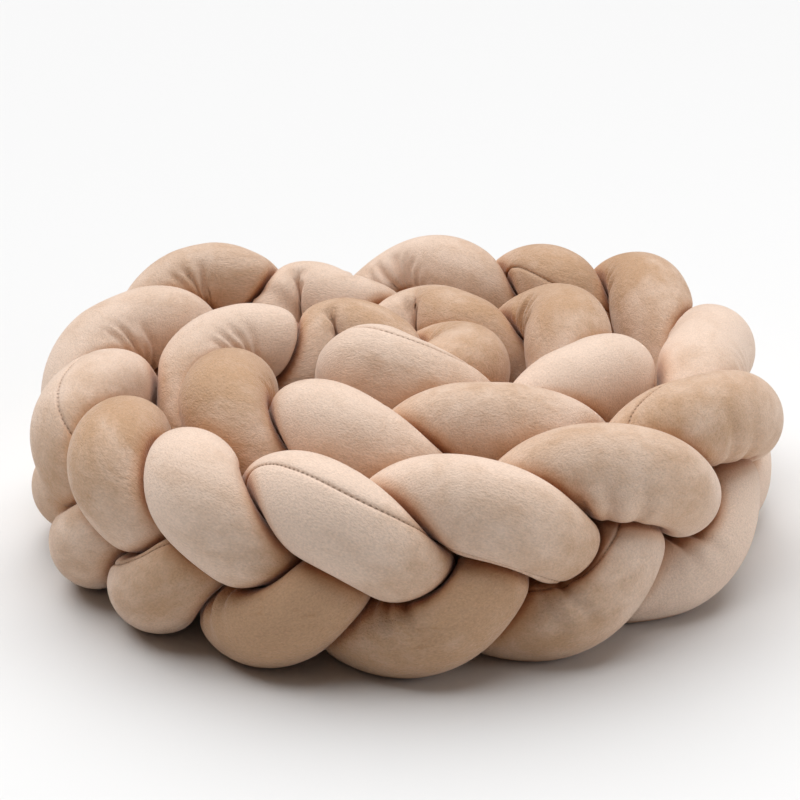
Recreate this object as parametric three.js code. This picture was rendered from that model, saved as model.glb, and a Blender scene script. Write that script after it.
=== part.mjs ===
// A braided crib bumper: three stuffed velour tubes in a flat three-strand braid,
// stood on its edge and rolled up in an open spiral of nearly two and a half turns.
// Millimetres, +Z up, origin on the floor under the middle of the roll.
import * as THREE from "three";

// The stuffed tubes
const TUBE_DIAMETER = 75; // where nothing presses on a tube
const MOST_SWELL = 1.10; // how much wider a tube gets where its sides are pressed
const VELOUR = 0xd3b799;

// The three strands, and where along the braid each one starts and ends, counted in crests.
const STRANDS = [
  { name: "strand_first", from: -0.7, to: 23.3 },
  { name: "strand_second", from: 0.1, to: 24.2 },
  { name: "strand_third", from: 0.3, to: 24.4 },
];
const END_LENGTH = 45; // over which a strand's end rounds off

// The braid: how far each strand's centre line swings
const HALF_SWING_UP = 45; // towards the upper and the lower edge of the braid
const HALF_SWING_OUT = 16; // towards the outer and the inner face
const MIDDLE_HEIGHT = 80; // the braid's middle line above the floor

// The roll: a spiral, and its middle as seen from the origin
const PITCH = 111.5; // from one turn to the next
const RADIUS_AT_END = 296; // at the end of the third turn
const SPIRAL_MIDDLE = { x: -31, y: -20 };

// One row for each place where a strand crosses the upper edge, from the inner end outwards.
// turn: degrees anticlockwise, out: how far it stands out of the spiral, up: how far it is lifted
// above its place in a braid that lies evenly. Nothing lifts the lower edge off the floor.
const CRESTS = [
  { turn: 284, out: 12, up: 28 },
  { turn: 376, out: 4, up: 2 },
  { turn: 462, out: -18, up: 8 },
  { turn: 518, out: 2, up: 16 },
  { turn: 576, out: 6, up: 15 },
  { turn: 618, out: 0, up: 14 },
  { turn: 662, out: 4, up: 13 },
  { turn: 706, out: 6, up: 14 },
  { turn: 747, out: 2, up: 20 },
  { turn: 788, out: -32, up: -4 },
  { turn: 825, out: -10, up: 7 },
  { turn: 847, out: 30, up: 27 },
  { turn: 878, out: 3, up: 14 },
  { turn: 914, out: -5, up: 2 },
  { turn: 938, out: -2, up: 0 },
  { turn: 959, out: 0, up: 0 },
  { turn: 981, out: 4, up: 0 },
  { turn: 1004, out: 2, up: 0 },
  { turn: 1027, out: 0, up: 8 },
  { turn: 1054, out: 2, up: 12 },
  { turn: 1091, out: 2, up: 2 },
  { turn: 1119, out: 26, up: 12 },
  { turn: 1137, out: 2, up: 6 },
  { turn: 1157, out: -6, up: 4 },
];

// Upper crossings, counted in crests, where the strands pass each other the other way round.
const REVERSED_CROSSINGS = [2.5, 9.5, 10.5];

// How finely the tubes are faceted
const SIDES = 16;
const STATION_STEP = 20; // along a strand, between rings of points
const LINE_STEP = 8; // along a strand, between the points that neighbours are measured from
const GAP = 1.5; // left between two tubes that press on each other
const CLEARING_PASSES = 8;
const SOFTNESS = 8; // a lower power rounds a tube off more where it meets a neighbour

const TURNS = CRESTS.map((crest) => crest.turn);
const OUTS = CRESTS.map((crest) => crest.out);
const UPS = CRESTS.map((crest) => crest.up);

// A smooth curve through values at 0, 1, 2, ..., which runs on straight past either end.
function through(values, at) {
  const last = values.length - 1;
  const value = (i) => {
    if (i < 0) return values[0] + i * (values[1] - values[0]);
    if (i > last) return values[last] + (i - last) * (values[last] - values[last - 1]);
    return values[i];
  };
  const i = Math.floor(at);
  const t = at - i;
  const [a, b, c, d] = [value(i - 1), value(i), value(i + 1), value(i + 2)];
  return b + 0.5 * t * (c - a + t * (2 * a - 5 * b + 4 * c - d + t * (3 * (b - c) + d - a)));
}

// The braid's middle line at `at` crests from the inner end.
function braidPoint(at) {
  const turn = through(TURNS, at);
  const radius = RADIUS_AT_END + (PITCH * (turn - 1080)) / 360 + through(OUTS, at);
  const angle = THREE.MathUtils.degToRad(turn);
  return new THREE.Vector3(
    SPIRAL_MIDDLE.x + radius * Math.cos(angle),
    SPIRAL_MIDDLE.y + radius * Math.sin(angle),
    MIDDLE_HEIGHT,
  );
}

// 1 where the braid is regular and -1 in the middle of a reversed crossing.
function crossingSense(at) {
  const reversed = REVERSED_CROSSINGS.find((crossing) => Math.abs(at - crossing) < 0.5);
  return reversed === undefined ? 1 : -Math.cos(2 * Math.PI * (at - reversed));
}

// The centre line of a strand at `at` crests from the inner end of the braid.
function strandPoint(strand, at) {
  const onwards = braidPoint(at + 0.05).sub(braidPoint(at - 0.05));
  const outwards = new THREE.Vector3(onwards.y, -onwards.x, 0).normalize();
  const phase = (2 * Math.PI * (at - strand)) / STRANDS.length + Math.PI / 2;
  const swing = -HALF_SWING_OUT * crossingSense(at) * Math.sin(2 * phase);
  const point = braidPoint(at).addScaledVector(outwards, swing);
  point.z += HALF_SWING_UP * Math.sin(phase) + (through(UPS, at) * (1 + Math.sin(phase))) / 2;
  return point;
}

// Points at an even distance along a strand's centre line.
function centreLine(strand, step) {
  const { from, to } = STRANDS[strand];
  const samples = 1200;
  const fine = [];
  for (let i = 0; i <= samples; i++) fine.push(strandPoint(strand, from + ((to - from) * i) / samples));
  const along = [0];
  for (let i = 1; i <= samples; i++) along.push(along[i - 1] + fine[i].distanceTo(fine[i - 1]));
  const length = along[samples];
  const count = Math.round(length / step);
  const points = [];
  let i = 0;
  for (let n = 0; n <= count; n++) {
    const s = (length * n) / count;
    while (i < samples - 1 && along[i + 1] < s) i++;
    points.push(fine[i].clone().lerp(fine[i + 1], (s - along[i]) / (along[i + 1] - along[i])));
  }
  return { points, length };
}

// Axes square to a centre line that turn with it as little as they can.
function squareAxes(points) {
  const axes = [];
  let side = new THREE.Vector3(0, 0, 1);
  points.forEach((point, i) => {
    const before = points[Math.max(i - 1, 0)];
    const after = points[Math.min(i + 1, points.length - 1)];
    const along = after.clone().sub(before).normalize();
    side = side.clone().addScaledVector(along, -side.dot(along)).normalize();
    axes.push({ along, side, across: along.clone().cross(side) });
  });
  return axes;
}

// How far a tube can reach from its centre in a direction before it meets the middle
// between itself and a neighbour.
function reach(direction, neighbours) {
  let least = 4 * TUBE_DIAMETER;
  for (const { offset, squared, gap } of neighbours) {
    const towards = gap + direction.dot(offset);
    if (towards > 0) least = Math.min(least, (squared - gap * gap) / (2 * towards));
  }
  return Math.max(least, 1);
}

const softLeast = (a, b) => (a ** -SOFTNESS + b ** -SOFTNESS) ** (-1 / SOFTNESS);

function girth(radii) {
  const step = (2 * Math.PI) / radii.length;
  return radii.reduce((sum, r, k) => {
    const next = radii[(k + 1) % radii.length];
    return sum + Math.sqrt(r * r + next * next - 2 * r * next * Math.cos(step));
  }, 0);
}

// Radii of a pressed section: its cloth goes as far round as that of a free one,
// so that it swells where nothing presses.
function sectionRadii(pressed) {
  const free = TUBE_DIAMETER / 2;
  const target = girth(pressed.map(() => free));
  let [low, high] = [free, free * MOST_SWELL];
  for (let n = 0; n < 12; n++) {
    const middle = (low + high) / 2;
    if (girth(pressed.map((r) => softLeast(middle, r))) < target) low = middle;
    else high = middle;
  }
  return pressed.map((r) => softLeast(low, r));
}

// The rings of points around a strand, each point as a direction and a radius from its centre.
function strandRings(strand, lines) {
  const { points, length } = centreLine(strand, STATION_STEP);
  const axes = squareAxes(points);
  const rings = points.map((centre, i) => {
    const s = (length * i) / (points.length - 1);
    const near = [];
    const own = [];
    const others = [];
    lines.forEach((line, other) =>
      line.points.forEach((q, j) => {
        const offset = q.clone().sub(centre);
        const squared = offset.lengthSq();
        const away = Math.abs((line.length * j) / (line.points.length - 1) - s);
        if (squared > (1.5 * TUBE_DIAMETER) ** 2) return;
        const apart = other !== strand || away > 2 * TUBE_DIAMETER;
        if (apart || away > LINE_STEP) near.push({ offset, squared, gap: apart ? GAP : 0 });
        if (apart) others.push(q);
        else own.push(q);
      }),
    );
    const directions = [];
    for (let k = 0; k < SIDES; k++) {
      const a = (2 * Math.PI * k) / SIDES;
      const { side, across } = axes[i];
      directions.push(side.clone().multiplyScalar(Math.cos(a)).addScaledVector(across, Math.sin(a)));
    }
    const fromEnd = Math.min(s, length - s);
    const rounding = Math.sqrt(Math.max(0, 1 - Math.max(0, 1 - fromEnd / END_LENGTH) ** 2));
    const radii = sectionRadii(directions.map((direction) => reach(direction, near)));
    const spokes = directions.map((direction, k) => {
      const toFloor = direction.z < 0 ? -centre.z / direction.z : Infinity;
      return { centre, direction, radius: rounding * Math.min(radii[k], toFloor) };
    });
    return { spokes, own, others };
  });
  return { rings: rings.slice(1, -1), first: points[0], last: points[points.length - 1] };
}

const tip = ({ centre, direction, radius }) => centre.clone().addScaledVector(direction, radius);

// How much further a point is from the middle lines of the other tubes than from its own.
function room(point, own, others) {
  const nearest = (line) => line.reduce((least, q) => Math.min(least, q.distanceToSquared(point)), 1e6);
  return Math.sqrt(nearest(others)) - Math.sqrt(nearest(own));
}

// Draws in the points at either end of each edge whose middle comes too near another tube.
function clearEdges(rings) {
  for (let pass = 0; pass < CLEARING_PASSES; pass++) {
    rings.forEach(({ spokes, own, others }, i) => {
      if (others.length === 0) return;
      const onwards = rings[Math.min(i + 1, rings.length - 1)].spokes;
      spokes.forEach((spoke, k) => {
        const beside = (k + 1) % SIDES;
        for (const [a, b] of [
          [spoke, spokes[beside]],
          [spoke, onwards[k]],
          [spokes[beside], onwards[k]],
        ]) {
          const middle = tip(a).lerp(tip(b), 0.5);
          const missing = GAP - room(middle, own, others);
          if (missing > 0) {
            a.radius -= missing / 2;
            b.radius -= missing / 2;
          }
        }
      });
    });
  }
}

function strandGeometry(strand, lines) {
  const { rings, first, last } = strandRings(strand, lines);
  clearEdges(rings);
  const vertices = [...rings.flatMap((ring) => ring.spokes.map(tip)), first, last];
  const firstEnd = rings.length * SIDES;
  const lastRing = firstEnd - SIDES;
  const faces = [];
  for (let i = 0; i < rings.length - 1; i++) {
    for (let k = 0; k < SIDES; k++) {
      const [a, b] = [i * SIDES + k, i * SIDES + ((k + 1) % SIDES)];
      const [c, d] = [a + SIDES, b + SIDES];
      faces.push(a, b, c, b, d, c);
    }
  }
  for (let k = 0; k < SIDES; k++) {
    const beside = (k + 1) % SIDES;
    faces.push(firstEnd, beside, k);
    faces.push(firstEnd + 1, lastRing + k, lastRing + beside);
  }
  const geometry = new THREE.BufferGeometry().setFromPoints(vertices);
  geometry.setIndex(faces);
  geometry.computeVertexNormals();
  return geometry;
}

const lines = STRANDS.map((_, strand) => centreLine(strand, LINE_STEP));
const bumper = new THREE.Group();
STRANDS.forEach(({ name }, strand) => {
  const material = new THREE.MeshStandardMaterial({ color: VELOUR, roughness: 0.95, metalness: 0 });
  const mesh = new THREE.Mesh(strandGeometry(strand, lines), material);
  mesh.name = name;
  bumper.add(mesh);
});

export default bumper;
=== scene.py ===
# Dresses the braided crib bumper: the frame's three stuffed tubes are rebuilt more finely from the
# same sizes, with their seams and folds, and covered in short-pile velour.
# Shapes are worked out in millimetres and become metres when a mesh is made.
from collections import namedtuple
from math import cos, pi, radians, sin

import bpy
import numpy as np
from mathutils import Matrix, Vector


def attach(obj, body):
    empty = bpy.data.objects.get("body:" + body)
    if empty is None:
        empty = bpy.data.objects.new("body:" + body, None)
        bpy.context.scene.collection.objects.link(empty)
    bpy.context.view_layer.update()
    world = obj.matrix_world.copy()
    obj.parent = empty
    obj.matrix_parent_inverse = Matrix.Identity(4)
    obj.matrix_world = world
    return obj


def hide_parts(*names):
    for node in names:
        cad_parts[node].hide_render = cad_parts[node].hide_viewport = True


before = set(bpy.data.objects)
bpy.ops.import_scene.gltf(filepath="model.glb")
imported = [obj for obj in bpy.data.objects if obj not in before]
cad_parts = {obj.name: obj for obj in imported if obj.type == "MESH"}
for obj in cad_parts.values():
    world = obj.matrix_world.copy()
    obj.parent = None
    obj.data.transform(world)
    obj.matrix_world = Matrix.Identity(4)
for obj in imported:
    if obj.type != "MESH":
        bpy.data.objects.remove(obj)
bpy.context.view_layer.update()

# The stuffed tubes
TUBE_DIAMETER = 75  # where nothing presses on a tube
MOST_SWELL = 1.10  # how much wider a tube gets where its sides are pressed

# The three strands: the piece, the frame's node that it stands for, and where along the braid
# it starts and ends, counted in crests.
Strand = namedtuple("Strand", "piece node start end")
STRANDS = [
    Strand("velour_tube_first", "strand_first", -0.7, 23.3),
    Strand("velour_tube_second", "strand_second", 0.1, 24.2),
    Strand("velour_tube_third", "strand_third", 0.3, 24.4),
]
END_LENGTH = 45  # over which a strand's end rounds off

# The braid: how far each strand's centre line swings
HALF_SWING_UP = 45  # towards the upper and the lower edge of the braid
HALF_SWING_OUT = 16  # towards the outer and the inner face
MIDDLE_HEIGHT = 80  # the braid's middle line above the floor

# The roll: a spiral, and its middle as seen from the origin
PITCH = 111.5  # from one turn to the next
RADIUS_AT_END = 296  # at the end of the third turn
SPIRAL_MIDDLE = (-31, -20)

# One row for each place where a strand crosses the upper edge, from the inner end outwards.
# turn: degrees anticlockwise, out: how far it stands out of the spiral, up: how far it is lifted.
# tone: how dark the nap lies on that lobe, below: how dark the strand's next lower lobe is
# coloured, its nap together with painted shade.
Crest = namedtuple("Crest", "turn out up tone below")
CRESTS = [
    Crest(284, 12, 28, 0.2, 0.1),
    Crest(376, 4, 2, 0.65, 0.3),
    Crest(462, -18, 8, 0.6, 0.5),
    Crest(518, 2, 16, 0, 0.5),
    Crest(576, 6, 15, 0.85, 0.5),
    Crest(618, 0, 14, 0.15, 0.3),
    Crest(662, 4, 13, 0.4, 0.2),
    Crest(706, 6, 14, 0.0, 0.1),
    Crest(747, 2, 20, 0.8, 0.5),
    Crest(788, -32, -4, 0.65, 0.5),
    Crest(825, -10, 7, 0.1, 0.3),
    Crest(847, 30, 27, 0.5, 0.5),
    Crest(878, 3, 14, 0.2, 0.55),
    Crest(914, -5, 2, 0.25, 0.4),
    Crest(938, -2, 0, 0.8, 0.95),
    Crest(959, 0, 0, 0.1, 0.85),
    Crest(981, 4, 0, 0.05, 0.8),
    Crest(1004, 2, 0, 0.2, 0.0),
    Crest(1027, 0, 8, 0.5, 0.1),
    Crest(1054, 2, 12, 0.65, 0.5),
    Crest(1091, 2, 2, 0.12, 0.1),
    Crest(1119, 26, 12, 0.8, 0.6),
    Crest(1137, 2, 6, 0.75, 0.7),
    Crest(1157, -6, 4, 0.25, 0.1),
]

# Upper crossings, counted in crests, where the strands pass each other the other way round.
REVERSED_CROSSINGS = [2.5, 9.5, 10.5]

# Where each tube's seam lies, one row of places for each strand. at: the place along the braid,
# counted in crests, round: degrees from the top of the tube towards the outside of the roll.
Seam = namedtuple("Seam", "at round")
SEAMS = [
    [
        Seam(-0.7, 12),
        Seam(-0.15, 9),
        Seam(0, -5),
        Seam(0.13, -4),
        Seam(0.3, 9),
        Seam(0.6, -10),
        Seam(1.5, -90),
        Seam(3, -140),
        Seam(6, -180),
        Seam(12, -160),
        Seam(23, -140),
    ],
    [
        Seam(1, 250),
        Seam(4, 240),
        Seam(7, 130),
        Seam(10, 120),
        Seam(12, 40),
        Seam(13.2, 18),
        Seam(14.6, 68),
        Seam(15.1, 30),
        Seam(15.9, 25),
        Seam(16.2, 22),
        Seam(16.6, 44),
        Seam(17.8, 38),
        Seam(18.7, -10),
        Seam(19.4, -45),
        Seam(22, -55),
    ],
    [
        Seam(2, 140),
        Seam(8, 155),
        Seam(14, 170),
        Seam(15.7, 175),
        Seam(17.1, 118),
        Seam(17.6, 142),
        Seam(23, 150),
    ],
]
SEAM_EASING = 23  # rings over which the corners of that course are rounded off
SEAM_DEPTH = 2
SEAM_UNEVENNESS = 0.2  # as a share of the depth
SEAM_SPOT = 3  # rings from one depth to the next
SEAM_WIDTH = 1.4  # how far from the seam the cloth is drawn in
SEAM_RIDGE = 0.4  # how far the cloth beside the seam puffs up
SEAM_RIDGE_AT = 3  # how far from the seam it puffs up most
STITCH = 3  # from one stitch to the next

# How finely the tubes are made
SIDES = 76
STATION_STEP = 3.1  # along a strand, between rings of points
SEAM_COLUMNS = 2  # extra columns of points beside the seam, on either side
LINE_STEP = 8  # along a strand, between the points that neighbours are measured from
FINE_POINTS = 4000  # from which those even distances are found

# How the tubes press on each other
GAP = 1.2  # left between two tubes that press on each other
LEAST_GAP = 0.2  # left between their folds
SOFTNESS = 8  # a lower power rounds a tube off more where it meets a neighbour
NEIGHBOURHOOD = 1.5 * TUBE_DIAMETER  # from a tube's middle to that of one that can press on it
OWN_STRETCH = 2 * TUBE_DIAMETER  # along a tube, within which it doesn't count as its own neighbour
NOTHING_NEAR = 4.0 * TUBE_DIAMETER  # how far a tube can reach where nothing is in its way
LEAST_RADIUS = 1
EDGE_ROUNDING = 4  # rings and sides over which the edge between two pressed places is rounded off
EDGE_REACH = 1.3  # how far out from a free tube's radius such an edge can reach
SWELL_PASSES = 12

# How the cloth folds where a tube bends
BEND_SPAN = 4  # rings to either side that a bend is measured over
FOLDLESS_END = 40  # from either end of a tube
CLOTH_TO_SPARE = 0.48  # how much of the outer side's extra length the cloth has all round
FOLDLESS_SQUEEZE = -0.09  # a place's squeeze, explained below, at which folds begin
FULL_SQUEEZE = 0.21  # and at which they get their full depth
FOLDLESS_ROOM = 1  # from a neighbour, within which there are no folds
FOLD_CLEARANCE = 7  # from there to where folds get their full depth
FOLD_EASING = 4  # rings and sides over which folds die away
FOLD_DEPTH = 6  # the most that a fold goes in
FOLD_RISE = 1.5  # the most that it stands out
FIRST_RIPPLE = 0.4  # the height of the uneven cloth that folds start from
RIPPLE_SIZE = (5, 10)  # of its spots, in rings and sides
FOLD_PASSES = 120
TAUT = 1  # the share by which a pass draws together points that are too far apart
SLACK = 0.7  # the share by which it moves apart points that are too near
SHEAR = 0.15  # both shares across the slant of the cloth
STIFFNESS = 0.3  # the second share between every other point, against sharp creases
PRESSURE = 0.005  # how far the stuffing pushes the cloth out at each pass
STUFFING = 0.985  # how much of a fold's depth it leaves at each pass
HOLD = 0.98  # how much of the cloth's slide it leaves
MOST_SLIDE = 3  # of the cloth over the stuffing
HELD_SLIDE = 0.2  # the share of that where there is no room for folds
PINCH_GAIN = 1.6  # how fast the smoothing below sets in as a bend gets tighter
PINCH_EASING = 2  # rings and sides over which it does
PINCH_PASSES = 30  # of smoothing, most of all on the inner side of the tightest bends
FOLD_SOFTENING = 0.04  # at each of these passes, everywhere

# Short folds that the next tube pulls in the cloth. strand, at: the tube and the place along the
# braid, round: degrees from the top of the tube towards the outside of the roll.
Fold = namedtuple("Fold", "strand at round reach depth")
PULLED_FOLDS = [
    Fold(0, 0.04, 63, 10, 1.2),
    Fold(0, 0.12, 58, 12, 1.5),
    Fold(0, 9.12, -55, 22, 3),
    Fold(0, 9.27, -42, 22, 2.5),
    Fold(0, 16.57, 60, 20, 2.5),
    Fold(0, 16.66, 64, 26, 3.5),
    Fold(0, 16.76, 56, 22, 3),
    Fold(0, 17.9, 104, 20, 2.5),
    Fold(0, 18.05, 110, 22, 3),
    Fold(0, 18.2, 112, 20, 2.5),
    Fold(1, 10.05, -48, 24, 3.5),
    Fold(1, 10.36, -48, 24, 3.5),
    Fold(1, 17.66, 66, 20, 2.5),
    Fold(1, 17.76, 56, 24, 3),
    Fold(1, 19.02, 102, 24, 3),
    Fold(1, 19.14, 112, 22, 3.5),
    Fold(2, 15.42, 66, 20, 2.5),
    Fold(2, 15.53, 58, 26, 3),
    Fold(2, 15.64, 50, 20, 3),
    Fold(2, 18.64, 36, 24, 3),
    Fold(2, 18.75, 38, 22, 2.5),
]
PULLED_FOLD_WIDTH = 4.2
PULLED_FOLD_SLANT = 0.15
BESIDE_FOLD = 1.8  # widths from a fold's valley to the ridges on either side
RIDGE_HEIGHT = 0.35  # as a share of the valley's depth

# Where the cloth's colour changes from the tone of an upper lobe to that of a lower one, which is
# partly painted shade; the level moves the change up the upper lobe, so that painted shade darkens
# its lower part too
TONE_CHANGE = 2
TONE_LEVEL = 0.6

# Near its ends the braid is open, so the painted crevice shade there is paler.
OPEN_END = 120  # from either end of a tube
OPEN_END_FADE = 80
OPEN_END_ROOM = 10  # added there to the room beside the cloth

# How a tube lies. For each point, room: how far it is from meeting another tube or the floor,
# pinch: how tight the inner side of a bend is, from 0 to 1, squeeze: how much shorter than the
# middle line the bend makes it there, round: radians from the top towards the outside of the roll.
# For each ring, bend: its curvature, turn: how far the seam goes round the tube to the next ring,
# along: its place along the tube, at: the same counted in crests, tone: how dark the cloth is
# coloured, by its nap and, on the lower lobes, by painted shade.
Lie = namedtuple("Lie", "room pinch squeeze round bend turn along at tone")


def through(values, at):
    """A smooth curve through values at 0, 1, 2, ..., which runs on straight past either end."""
    spare = np.arange(1, 5)
    before = values[0] - spare[::-1] * (values[1] - values[0])
    after = values[-1] + spare * (values[-1] - values[-2])
    known = np.concatenate([before, values, after])
    i = np.floor(at).astype(int)
    t = at - i
    a, b, c, d = (known[i + len(spare) + k] for k in (-1, 0, 1, 2))
    return b + 0.5 * t * (c - a + t * (2 * a - 5 * b + 4 * c - d + t * (3 * (b - c) + d - a)))


def crest_values(name):
    return np.array([getattr(crest, name) for crest in CRESTS], float)


def braid_point(at):
    """The braid's middle line at `at` crests from the inner end."""
    turn = through(crest_values("turn"), at)
    radius = RADIUS_AT_END + PITCH * (turn - 1080) / 360 + through(crest_values("out"), at)
    x = SPIRAL_MIDDLE[0] + radius * np.cos(np.radians(turn))
    y = SPIRAL_MIDDLE[1] + radius * np.sin(np.radians(turn))
    return np.stack([x, y, np.full_like(x, MIDDLE_HEIGHT)], axis=-1)


def crossing_sense(at):
    """1 where the braid is regular and -1 in the middle of a reversed crossing."""
    sense = np.ones_like(at)
    for crossing in REVERSED_CROSSINGS:
        near = np.abs(at - crossing) < 0.5
        sense[near] = -np.cos(2 * pi * (at[near] - crossing))
    return sense


def strand_point(strand, at):
    """The centre line of a strand at `at` crests from the inner end of the braid."""
    step = 0.05
    onwards = braid_point(at + step) - braid_point(at - step)
    outwards = np.stack([onwards[:, 1], -onwards[:, 0], np.zeros(len(at))], axis=-1)
    outwards /= np.linalg.norm(outwards, axis=1, keepdims=True)
    phase = 2 * pi * (at - strand) / len(STRANDS) + pi / 2
    swing = -HALF_SWING_OUT * crossing_sense(at) * np.sin(2 * phase)
    point = braid_point(at) + swing[:, None] * outwards
    lift = through(crest_values("up"), at) * (1 + np.sin(phase)) / 2
    point[:, 2] += HALF_SWING_UP * np.sin(phase) + lift
    return point


def centre_line(strand, step):
    """Points at an even distance along a strand, how far along each is, and at which crest."""
    at = np.linspace(STRANDS[strand].start, STRANDS[strand].end, FINE_POINTS)
    fine = strand_point(strand, at)
    along = np.concatenate([[0], np.cumsum(np.linalg.norm(np.diff(fine, axis=0), axis=1))])
    s = np.linspace(0, along[-1], round(along[-1] / step) + 1)
    points = np.stack([np.interp(s, along, fine[:, k]) for k in range(3)], axis=-1)
    return points, s, np.interp(s, along, at)


def square_axes(points):
    """Axes square to a centre line that turn with it as little as they can."""
    onwards = np.gradient(points, axis=0)
    onwards /= np.linalg.norm(onwards, axis=1, keepdims=True)
    sides = np.empty_like(points)
    side = np.array([0.0, 0.0, 1.0])
    for i, along in enumerate(onwards):
        side = side - along * side.dot(along)
        side /= np.linalg.norm(side)
        sides[i] = side
    return sides, np.cross(onwards, sides)


def pressed_radii(centre, directions, s, strand, lines):
    """How far a tube reaches in each direction before it meets the middle between itself and
    another part: first of the tube's own next few centimetres, then of any other tube's."""
    own = np.full(len(directions), NOTHING_NEAR)
    others = own.copy()
    for other, (points, far, _) in enumerate(lines):
        offsets = points - centre
        squared = (offsets**2).sum(axis=1)
        away = np.abs(far - s)
        near = squared < NEIGHBOURHOOD**2
        if other == strand:
            near &= away > LINE_STEP
        apart = ((away > OWN_STRETCH) | (other != strand))[near]
        gap = np.where(apart, GAP, 0)
        towards = gap + directions @ offsets[near].T
        reach = (squared[near] - gap**2) / (2 * np.maximum(towards, 1e-6))
        reach[towards <= 0] = np.inf
        if apart.any():
            others = np.minimum(others, reach[:, apart].min(axis=1))
        if not apart.all():
            own = np.minimum(own, reach[:, ~apart].min(axis=1))
    return np.maximum(own, LEAST_RADIUS), np.maximum(others, LEAST_RADIUS)


def soft_least(a, b):
    return (a**-SOFTNESS + b**-SOFTNESS) ** (-1 / SOFTNESS)


def girth(radii):
    """The distance round each section, a row of radii for each."""
    step = 2 * pi / radii.shape[1]
    beside = np.roll(radii, -1, axis=1)
    return np.sqrt(radii**2 + beside**2 - 2 * radii * beside * cos(step)).sum(axis=1)


def blurred(values, width, axis):
    """Values averaged over their neighbours, `width` of them to either side. The sides of a tube
    go round, and its rings end."""
    reach = 2 * width
    weights = np.exp(-2 * (np.arange(-reach, reach + 1) / width) ** 2)
    margin = [(0, 0), (0, 0)]
    margin[axis] = (reach, reach)
    padded = np.pad(values, margin, mode="edge" if axis == 0 else "wrap")
    count = values.shape[axis]
    shifted = (np.take(padded, range(k, k + count), axis) for k in range(2 * reach + 1))
    return sum(w * part for w, part in zip(weights, shifted)) / weights.sum()


def blurred_both_ways(values, width):
    return blurred(blurred(values, width, 0), width, 1)


def rounded_off(pressed):
    """Rounds off the sharp edges between two neighbours' pressed places, which stuffed cloth
    doesn't fill."""
    rounded = np.minimum(pressed, TUBE_DIAMETER / 2 * EDGE_REACH)
    for _ in range(2):
        rounded = np.minimum(rounded, blurred_both_ways(rounded, EDGE_ROUNDING))
    return rounded


def section_radii(pressed):
    """Radii of pressed sections: their cloth goes as far round as that of a free one, so that
    they swell where nothing presses."""
    free = TUBE_DIAMETER / 2
    target = girth(np.full((1, pressed.shape[1]), free))[0]
    low = np.full(len(pressed), free)
    high = np.full(len(pressed), free * MOST_SWELL)
    for _ in range(SWELL_PASSES):
        middle = (low + high) / 2
        small = girth(soft_least(middle[:, None], pressed)) < target
        low = np.where(small, middle, low)
        high = np.where(small, high, middle)
    return soft_least(low[:, None], pressed)


def seam_angle(strand, at):
    """How far round from the top of the tube its seam lies at each ring."""
    rows = SEAMS[strand]
    angle = np.interp(at, [row.at for row in rows], [row.round for row in rows])
    window = np.hanning(SEAM_EASING)
    padded = np.pad(angle, len(window) // 2, mode="edge")
    return np.radians(np.convolve(padded, window / window.sum(), mode="valid"))


def from_ends(along):
    """How far each place is from the nearer end."""
    return np.minimum(along, along[-1] - along)


def curvature(points, step):
    """How strongly a centre line bends at each point, as a vector towards the inner side."""
    bends = np.zeros_like(points)
    middle = slice(BEND_SPAN, -BEND_SPAN)
    bends[middle] = points[2 * BEND_SPAN :] - 2 * points[middle] + points[: -2 * BEND_SPAN]
    return bends / (BEND_SPAN * step) ** 2


def tones(strand, at):
    """How dark a strand is coloured at each place along the braid: the tone of its nap, and on its
    lower lobes painted shade as well.
    """
    upper = through(crest_values("tone"), at)
    lower = through(crest_values("below"), at - len(STRANDS) / 2)
    high = np.sin(2 * pi * (at - strand) / len(STRANDS) + pi / 2)
    # The level spreads the lower lobe's tone, with its painted shade, up over the lower part of
    # each upper lobe
    return lower + (upper - lower) * (1 + np.clip(TONE_CHANGE * high - TONE_LEVEL, -1, 1)) / 2


def tube(strand, lines):
    """Rings of points around a strand as (ring, side, xyz), with the seam at the first side, its
    two end points, and how it lies."""
    points, s, at = centre_line(strand, STATION_STEP)
    sides, across = square_axes(points)
    top = np.unwrap(np.arctan2(across[:, 2], sides[:, 2]))
    seam = top + seam_angle(strand, at)
    angles = seam[:, None] + 2 * pi * np.arange(SIDES) / SIDES
    directions = (
        np.cos(angles)[:, :, None] * sides[:, None] + np.sin(angles)[:, :, None] * across[:, None]
    )
    reaches = [pressed_radii(points[i], directions[i], s[i], strand, lines) for i in range(len(s))]
    own, others = np.array(reaches).transpose(1, 0, 2)
    radii = section_radii(rounded_off(np.minimum(own, others)))
    rounding = np.sqrt(1 - np.clip(1 - from_ends(s) / END_LENGTH, 0, 1) ** 2)
    down = np.minimum(directions[:, :, 2], -1e-6)
    to_floor = np.where(directions[:, :, 2] < 0, -points[:, None, 2] / down, np.inf)
    radii = rounding[:, None] * np.minimum(radii, to_floor)
    rings = points[:, None] + radii[:, :, None] * directions
    tightness = np.clip(PINCH_GAIN - PINCH_GAIN * own / (TUBE_DIAMETER / 2), 0, 1)
    bends = curvature(points, s[1] - s[0])
    whole = Lie(
        room=np.minimum(others, to_floor) - radii,
        pinch=blurred_both_ways(tightness, PINCH_EASING),
        squeeze=TUBE_DIAMETER / 2 * (bends[:, None] * directions).sum(axis=-1),
        round=angles - top[:, None],
        bend=np.linalg.norm(bends, axis=1),
        turn=np.gradient(seam) * TUBE_DIAMETER / 2,
        along=s,
        at=at,
        tone=tones(strand, at),
    )
    inner = slice(1, -1)
    return rings[inner], points[[0, -1]], Lie(*(values[inner] for values in whole))


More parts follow.
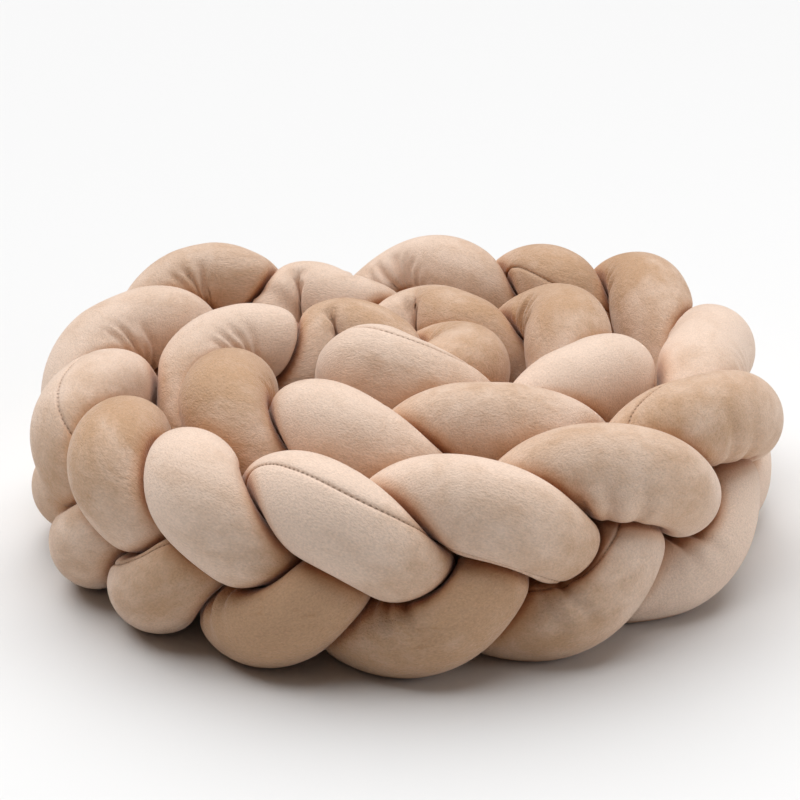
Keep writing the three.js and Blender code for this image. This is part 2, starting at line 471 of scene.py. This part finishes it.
def smooth_noise(shape, size, rng):
    """Noise over the rings and sides of a tube, with spots of `size` rings and sides."""
    rows = shape[0] // size[0] + 2
    columns = shape[1] // size[1]
    spots = rng.normal(size=(rows, columns)).astype(np.float32)
    i = np.arange(shape[0]) / size[0]
    k = np.arange(shape[1]) * columns / shape[1]
    i0 = i.astype(int)
    k0 = k.astype(int)
    ti = (i - i0)[:, None]
    tk = (k - k0)[None]
    ti = ti * ti * (3 - 2 * ti)
    tk = tk * tk * (3 - 2 * tk)
    k1 = (k0 + 1) % columns
    near = spots[i0][:, k0] * (1 - ti) + spots[i0 + 1][:, k0] * ti
    far = spots[i0][:, k1] * (1 - ti) + spots[i0 + 1][:, k1] * ti
    return near * (1 - tk) + far * tk


def ease(a, b, length, taut, slack):
    """Moves the pairs of points a and b towards `length` apart: by `taut` where they are too far
    from each other and by `slack` where they are too near."""
    apart = b - a
    now = np.maximum(np.sqrt((apart * apart).sum(axis=-1)), 1e-6)
    excess = now - length
    share = np.where(excess > 0, taut, slack)
    move = (share * excess / now / 2)[..., None] * apart
    a += move
    b -= move


def ease_along(net, step, length, taut, slack):
    """Eases the points of each ring with those `step` rings on."""
    for first in range(step + 1):
        ahead = net[first + step :: step + 1]
        here = net[first :: step + 1][: len(ahead)]
        ease(here, ahead, length[first :: step + 1][: len(ahead), None], taut, slack)


def ease_round(net, step, length, taut, slack):
    """Eases the points of each side with those `step` sides round."""
    for first in range(2 * step):
        turned = np.roll(net, -first, axis=1)
        pairs = turned.reshape(len(net), -1, 2 * step, 3)
        ease(pairs[:, :, 0], pairs[:, :, step], length, taut, slack)
        net[:] = np.roll(turned, first, axis=1)


def ease_slanting(net, length, side):
    """Eases the points of each ring with those of the next ring `side` sides round."""
    for first in range(2):
        ahead = net[first + 1 :: 2]
        here = net[first::2][: len(ahead)]
        turned = np.roll(ahead, -side, axis=1)
        ease(here, turned, length[first::2][: len(ahead), None], SHEAR, SHEAR)
        ahead[:] = np.roll(turned, side, axis=1)


def outward(rings):
    """Unit vectors that stand out of the tube at each point."""
    ahead = np.gradient(rings, axis=0)
    around = np.roll(rings, -1, axis=1) - np.roll(rings, 1, axis=1)
    out = np.cross(around, ahead)
    out /= np.maximum(np.linalg.norm(out, axis=-1, keepdims=True), 1e-9)
    middles = rings.mean(axis=1, keepdims=True)
    return out if ((rings - middles) * out).sum() > 0 else -out


def crumple(rings, lie, seed):
    """Lets the cloth of a bent tube fold where the bend leaves it too long, while the stuffing
    and the neighbours hold it."""
    start = rings.astype(np.float32)
    count, sides, _ = start.shape
    out = outward(start)
    off_end = np.clip(from_ends(lie.along) / FOLDLESS_END - 1, 0, 1)[:, None]
    squeezed = (lie.squeeze - FOLDLESS_SQUEEZE) / (FULL_SQUEEZE - FOLDLESS_SQUEEZE)
    clear = (lie.room - FOLDLESS_ROOM) / FOLD_CLEARANCE
    free = (1 - lie.pinch) * np.clip(squeezed, 0, 1) * np.clip(clear, 0, 1)
    free = off_end * free * free * (3 - 2 * free)
    free = np.minimum(free, blurred_both_ways(free, FOLD_EASING))
    most_out = np.minimum(FOLD_RISE * free, np.maximum(lie.room, 0)).astype(np.float32)
    most_in = (FOLD_DEPTH * free).astype(np.float32)
    most_slide = MOST_SLIDE * (HELD_SLIDE + (1 - HELD_SLIDE) * free).astype(np.float32)
    spacing = lie.along[1] - lie.along[0]
    ahead = spacing * (1 + CLOTH_TO_SPARE * lie.bend[:-1] * TUBE_DIAMETER / 2)
    turn = lie.turn[:-1]
    wide = TUBE_DIAMETER * sin(pi / sides)
    wider = TUBE_DIAMETER * sin(2 * pi / sides)
    longways = np.hypot(ahead, turn).astype(np.float32)
    longer = np.hypot(ahead[1:] + ahead[:-1], turn[1:] + turn[:-1]).astype(np.float32)
    slanting_on = np.hypot(ahead, turn + wide).astype(np.float32)
    slanting_back = np.hypot(ahead, turn - wide).astype(np.float32)
    uneven = smooth_noise((count, sides), RIPPLE_SIZE, np.random.default_rng(seed))
    net = start + (FIRST_RIPPLE * uneven * free)[..., None].astype(np.float32) * out
    for _ in range(FOLD_PASSES):
        ease_along(net, 1, longways, TAUT, SLACK)
        ease_round(net, 1, wide, TAUT, SLACK)
        ease_slanting(net, slanting_on, 1)
        ease_slanting(net, slanting_back, -1)
        ease_along(net, 2, longer, 0, STIFFNESS)
        ease_round(net, 2, wider, 0, STIFFNESS)
        moved = net - start
        rise = (moved * out).sum(axis=-1)
        slide = moved - rise[..., None] * out
        rise += PRESSURE
        rise = np.where(rise < 0, rise * STUFFING, rise)
        rise = np.clip(rise, -most_in, most_out)
        far = np.maximum(np.sqrt((slide * slide).sum(axis=-1)), 1e-6)
        hold = HOLD * np.minimum(1, most_slide / far)
        net = start + hold[..., None] * slide + rise[..., None] * out
    soften = np.maximum(lie.pinch[1:-1, :, None] / 2, FOLD_SOFTENING)
    for _ in range(PINCH_PASSES):
        beside = np.roll(net, 1, axis=1) + np.roll(net, -1, axis=1)
        average = (net[2:] + net[:-2] + beside[1:-1]) / 4
        net[1:-1] += soften * (average - net[1:-1])
    rise = ((net - start) * out).sum(axis=-1)
    over = np.maximum(rise - np.maximum(lie.room - LEAST_GAP, 0), 0)
    return (net - over[..., None] * out).astype(float)


def pull(net, lie, strand):
    """Presses the short folds of one strand into its cloth."""
    depth = np.zeros(net.shape[:2])
    for fold in PULLED_FOLDS:
        if fold.strand != strand:
            continue
        off = lie.along - np.interp(fold.at, lie.at, lie.along)
        side = np.exp(1j * (lie.round - radians(fold.round)))
        span = TUBE_DIAMETER / 2 * np.angle(side)
        off = (off[:, None] - PULLED_FOLD_SLANT * span) / PULLED_FOLD_WIDTH
        valley = np.exp(-(off**2))
        ridges = RIDGE_HEIGHT * np.exp(-((np.abs(off) - BESIDE_FOLD) ** 2))
        depth += fold.depth * (valley - ridges) * np.exp(-((span / fold.reach) ** 2))
    most_out = np.maximum(lie.room - LEAST_GAP, 0)
    return net - np.maximum(depth, -most_out)[..., None] * outward(net)


def sew(net, seed):
    """Adds columns beside the seam and draws the cloth in along it. Returns the points and how
    far each column is from the seam."""
    count, sides, _ = net.shape
    spacing = pi * TUBE_DIAMETER / sides
    share = np.arange(1, SEAM_COLUMNS + 1)[None, :, None] / (SEAM_COLUMNS + 1)
    seam, on, back = (net[:, k][:, None] for k in (0, 1, -1))
    extra_on = seam + share * (on - seam)
    extra_back = (seam + share * (back - seam))[:, ::-1]
    net = np.concatenate([seam, extra_on, net[:, 1:], extra_back], axis=1)
    round_to = np.concatenate(
        [[0], share.ravel(), np.arange(1, sides), sides - share.ravel()[::-1]]
    )
    from_seam = spacing * np.minimum(round_to, sides - round_to)
    uneven = smooth_noise((count, 1), (SEAM_SPOT, 1), np.random.default_rng(seed))
    depth = SEAM_DEPTH * (1 + SEAM_UNEVENNESS * uneven) * np.exp(-from_seam / SEAM_WIDTH)
    out = from_seam / SEAM_RIDGE_AT
    ridge = SEAM_RIDGE * out * np.exp(1 - out)
    return net + (ridge - depth)[..., None] * outward(net), from_seam


def tube_mesh(name, rings, ends):
    count, sides, _ = rings.shape
    vertices = np.concatenate([rings.reshape(-1, 3), ends]) / 1000
    i, k = np.meshgrid(np.arange(count - 1), np.arange(sides), indexing="ij")
    a = i * sides + k
    b = i * sides + (k + 1) % sides
    quads = np.stack([a, b, b + sides, a + sides], axis=-1).reshape(-1, 4)
    k = np.arange(sides)
    beside = (k + 1) % sides
    first = np.stack([np.full(sides, count * sides), beside, k], axis=-1)
    last = np.stack([np.full(sides, count * sides + 1), k, beside], axis=-1)
    last[:, 1:] += (count - 1) * sides
    mesh = bpy.data.meshes.new(name)
    mesh.from_pydata(vertices.tolist(), [], quads.tolist() + first.tolist() + last.tolist())
    mesh.shade_smooth()
    return mesh


def set_attribute(mesh, name, values):
    """Stores a number for each ring point, and the first and last ring's at the two ends."""
    ends = values[[0, -1]].mean(axis=1)
    data = mesh.attributes.new(name, "FLOAT", "POINT").data
    data.foreach_set("value", np.concatenate([values.ravel(), ends]).astype(np.float32))


def store_places(mesh, lie, from_seam):
    """Stores for the material where each point lies: how far along its tube, how far round it as
    a point on a circle, how far from the seam, how dark the nap and the painted shade of the lower
    lobes make it, and how much room is there, which sets the painted crevice shade."""
    shape = (len(lie.along), len(from_seam))
    half = len(from_seam) // 2
    angles = 2 * np.r_[from_seam[:half], -from_seam[half:]] / TUBE_DIAMETER
    columns = np.r_[0, [0] * SEAM_COLUMNS, 1:SIDES, [0] * SEAM_COLUMNS]
    openness = np.clip((OPEN_END - from_ends(lie.along)) / OPEN_END_FADE, 0, 1)
    room = lie.room[:, columns] + OPEN_END_ROOM * openness[:, None]
    set_attribute(mesh, "along", np.broadcast_to(lie.along[:, None], shape))
    set_attribute(mesh, "round_cos", np.broadcast_to(TUBE_DIAMETER / 2 * np.cos(angles), shape))
    set_attribute(mesh, "round_sin", np.broadcast_to(TUBE_DIAMETER / 2 * np.sin(angles), shape))
    set_attribute(mesh, "from_seam", np.broadcast_to(from_seam, shape))
    set_attribute(mesh, "tone", np.broadcast_to(lie.tone[:, None], shape))
    set_attribute(mesh, "room", room)


class Shading:
    """Builds a material's nodes. Those of its methods that are named after a kind of node add
    one and return its main socket."""

    def __init__(self, name):
        self.material = bpy.data.materials.new(name)
        self.material.use_nodes = True
        self.tree = self.material.node_tree
        self.shader = self.tree.nodes["Principled BSDF"]

    def node(self, kind, inputs=(), **settings):
        node = self.tree.nodes.new(kind)
        for key, value in settings.items():
            setattr(node, key, value)
        for socket, value in zip(node.inputs, inputs):
            self.put(value, socket)
        return node

    def put(self, value, socket):
        if isinstance(value, bpy.types.NodeSocket):
            self.tree.links.new(value, socket)
        elif value is not None:
            socket.default_value = value

    def attribute(self, name):
        return self.node("ShaderNodeAttribute", attribute_name=name).outputs["Fac"]

    def maths(self, operation, *values):
        return self.node("ShaderNodeMath", values, operation=operation).outputs[0]

    def vector(self, x, y, z):
        return self.node("ShaderNodeCombineXYZ", (x, y, z)).outputs[0]

    def noise(self, place, scale, detail=2, roughness=0.5, distortion=0):
        node = self.node("ShaderNodeTexNoise")
        self.put(place, node.inputs["Vector"])
        self.put(scale, node.inputs["Scale"])
        self.put(detail, node.inputs["Detail"])
        self.put(roughness, node.inputs["Roughness"])
        self.put(distortion, node.inputs["Distortion"])
        return node.outputs["Fac"]

    def ramp(self, value, low, high, to_low=0, to_high=1):
        """Eases from to_low to to_high while the value goes from low to high."""
        node = self.node("ShaderNodeMapRange", interpolation_type="SMOOTHSTEP")
        for socket, number in zip(node.inputs, (value, low, high, to_low, to_high)):
            self.put(number, socket)
        return node.outputs["Result"]

    def mix(self, factor, a, b, blend="MIX"):
        node = self.node("ShaderNodeMix", data_type="RGBA", blend_type=blend)
        self.put(factor, node.inputs["Factor"])
        self.put(a, node.inputs[6])
        self.put(b, node.inputs[7])
        return node.outputs[2]

    def bump(self, height, distance, normal=None):
        node = self.node("ShaderNodeBump")
        self.put(distance, node.inputs["Distance"])
        self.put(height, node.inputs["Height"])
        self.put(normal, node.inputs["Normal"])
        return node.outputs["Normal"]


# The velour's colours; the dark nap colour also serves as painted shade on the lower lobes
LIGHT_NAP = (0.88, 0.68, 0.55, 1)
DARK_NAP_AND_SHADE = (0.60, 0.375, 0.23, 1)
CRUSHED_NAP = (0.52, 0.29, 0.15, 1)
# Painted shade in the crevices between the tubes
NEAR_CREVICE_SHADE = (0.60, 0.31, 0.14, 1)
CREVICE_SHADE = (0.42, 0.15, 0.05, 1)
THREAD = (0.30, 0.17, 0.10, 1)


def velour():
    """Short-pile velour: lighter or darker as the nap lies, with painted shade on the lower lobes
    and in the crevices, marks where it was stroked, and one row of sunken stitches along the seam.
    Places on the cloth are in millimetres."""
    cloth = Shading("velour")
    along = cloth.attribute("along")
    round_cos = cloth.attribute("round_cos")
    round_sin = cloth.attribute("round_sin")
    from_seam = cloth.attribute("from_seam")
    tone = cloth.attribute("tone")
    room = cloth.attribute("room")
    place = cloth.vector(along, round_cos, round_sin)

    # How the nap lies, from one lobe to the next and within a lobe, with painted shade darkening
    # the lower lobes
    broad = cloth.noise(place, 0.022, 2, 0.5, 0.6)
    patches = cloth.noise(place, 0.09, 3, 0.6, 0.4)
    nap_and_shade = cloth.maths("ADD", tone, cloth.maths("MULTIPLY_ADD", broad, 0.9, -0.45))
    nap_and_shade = cloth.maths("ADD", nap_and_shade, cloth.maths("MULTIPLY_ADD", patches, 0.6, -0.3))
    colour = cloth.mix(cloth.ramp(nap_and_shade, 0, 1), LIGHT_NAP, DARK_NAP_AND_SHADE)

    # Crushed nap: short slanting marks in some patches
    slanting = cloth.vector(
        cloth.maths("MULTIPLY_ADD", round_cos, 0.5, cloth.maths("MULTIPLY", along, 0.5)),
        cloth.maths("MULTIPLY_ADD", along, -0.5, round_cos),
        round_sin,
    )
    marks = cloth.ramp(cloth.noise(slanting, 0.25, 3, 0.6, 0.5), 0.5, 0.75)
    where = cloth.ramp(cloth.noise(place, 0.03, 1), 0.52, 0.68)
    crushed = cloth.maths("MULTIPLY", marks, where)
    crushed = cloth.maths("MULTIPLY", crushed, cloth.ramp(tone, 0.2, 0.9, 0.15, 0.6))
    colour = cloth.mix(crushed, colour, CRUSHED_NAP)

    # Uneven pile, most of all where the cloth is coloured dark
    uneven = cloth.noise(place, 0.26, 3, 0.6)
    uneven = cloth.maths("MULTIPLY", uneven, cloth.ramp(nap_and_shade, 0, 1, 0.3, 1))

    # The pile itself
    pile = cloth.noise(place, 0.75, 2, 0.6)
    shade = cloth.maths("MULTIPLY_ADD", pile, 0.5, 0.75)
    tinted = cloth.node("ShaderNodeCombineColor", (shade, shade, shade)).outputs[0]
    colour = cloth.mix(1, colour, tinted, "MULTIPLY")

    # Painted shade where the cloth goes down between two tubes: warm near the crevice, deep brown
    # in it
    colour = cloth.mix(cloth.ramp(room, 0, 16, 0.5, 0), colour, NEAR_CREVICE_SHADE)
    colour = cloth.mix(cloth.ramp(room, 0, 5, 0.7, 0), colour, CREVICE_SHADE)

    # The stitches
    beat = cloth.maths("SINE", cloth.maths("MULTIPLY", along, 2 * pi / STITCH))
    gap = cloth.ramp(beat, -0.2, 0.7)
    seam = cloth.ramp(from_seam, 0.2, 1, 1, 0)
    holes = cloth.maths("MULTIPLY", gap, seam)
    sunk = cloth.maths("MULTIPLY_ADD", holes, 0.7, cloth.maths("MULTIPLY", seam, 0.3))
    colour = cloth.mix(cloth.maths("MULTIPLY", sunk, 0.38), colour, THREAD)

    cloth.put(colour, cloth.shader.inputs["Base Color"])
    cloth.shader.inputs["Roughness"].default_value = 0.95
    cloth.shader.inputs["Specular IOR Level"].default_value = 0.15
    cloth.shader.inputs["Sheen Weight"].default_value = 0.5
    cloth.shader.inputs["Sheen Roughness"].default_value = 0.35
    cloth.shader.inputs["Sheen Tint"].default_value = (1, 0.89, 0.81, 1)

    normal = cloth.bump(pile, 0.0007)
    normal = cloth.bump(uneven, 0.0011, normal)
    normal = cloth.bump(crushed, 0.0004, normal)
    normal = cloth.bump(cloth.maths("MULTIPLY", sunk, -1), 0.0009, normal)
    cloth.put(normal, cloth.shader.inputs["Normal"])
    return cloth.material


lines = [centre_line(strand, LINE_STEP) for strand in range(len(STRANDS))]
cloth = velour()
for number, strand in enumerate(STRANDS):
    rings, ends, lie = tube(number, lines)
    folded = crumple(rings, lie, number)
    net, from_seam = sew(pull(folded, lie, number), number)
    mesh = tube_mesh(strand.piece, net, ends)
    store_places(mesh, lie, from_seam)
    mesh.materials.append(cloth)
    piece = bpy.data.objects.new(strand.piece, mesh)
    bpy.context.collection.objects.link(piece)
    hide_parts(strand.node)
    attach(piece, "root")

# The floor, the lights and the camera, in metres
FLOOR_REACH = 6
corners = [(x * FLOOR_REACH, y * FLOOR_REACH, 0) for x, y in [(-1, -1), (1, -1), (1, 1), (-1, 1)]]
floor_mesh = bpy.data.meshes.new("floor")
floor_mesh.from_pydata(corners, [], [(0, 1, 2, 3)])
floor = bpy.data.objects.new("floor", floor_mesh)
bpy.context.collection.objects.link(floor)
paper = bpy.data.materials.new("paper")
paper.use_nodes = True
paper.node_tree.nodes["Principled BSDF"].inputs["Base Color"].default_value = (0.8, 0.8, 0.8, 1)
paper.node_tree.nodes["Principled BSDF"].inputs["Roughness"].default_value = 0.9
floor_mesh.materials.append(paper)

# A wide soft light from above and a little behind, and a weak one from the right
OVERHEAD_TOWARDS = Vector((0.14, -0.4, -1))
overhead_data = bpy.data.lights.new("overhead", "SUN")
overhead_data.angle = radians(80)
overhead_data.energy = 3.8
overhead = bpy.data.objects.new("overhead", overhead_data)
overhead.rotation_euler = OVERHEAD_TOWARDS.to_track_quat("-Z", "Y").to_euler()
bpy.context.collection.objects.link(overhead)

RIGHT_PLACE = Vector((2.6, -0.6, 0.7))
RIGHT_TARGET = Vector((0, 0, 0.1))
right_data = bpy.data.lights.new("right", "AREA")
right_data.size = 1.2
right_data.energy = 14
right = bpy.data.objects.new("right", right_data)
right.location = RIGHT_PLACE
right.rotation_euler = (RIGHT_TARGET - RIGHT_PLACE).to_track_quat("-Z", "Y").to_euler()
bpy.context.collection.objects.link(right)

world = bpy.data.worlds.new("studio")
world.use_nodes = True
world.node_tree.nodes["Background"].inputs["Color"].default_value = (1, 1, 1, 1)
world.node_tree.nodes["Background"].inputs["Strength"].default_value = 0.06
bpy.context.scene.world = world
bpy.context.scene.view_settings.view_transform = "Standard"

# The photo's viewing angle
CAMERA_TARGET = Vector((-0.0075, -0.0196, 0.110))
CAMERA_ELEVATION = radians(20.6)
CAMERA_DISTANCE = 1.7
CAMERA_LENS = 88.4  # mm
camera_data = bpy.data.cameras.new("camera")
camera_data.lens = CAMERA_LENS
camera_data.sensor_width = 36
camera = bpy.data.objects.new("camera", camera_data)
towards_camera = Vector((0, -cos(CAMERA_ELEVATION), sin(CAMERA_ELEVATION)))
camera.location = CAMERA_TARGET + CAMERA_DISTANCE * towards_camera
camera.rotation_euler = (-towards_camera).to_track_quat("-Z", "Y").to_euler()
bpy.context.collection.objects.link(camera)
bpy.context.scene.camera = camera
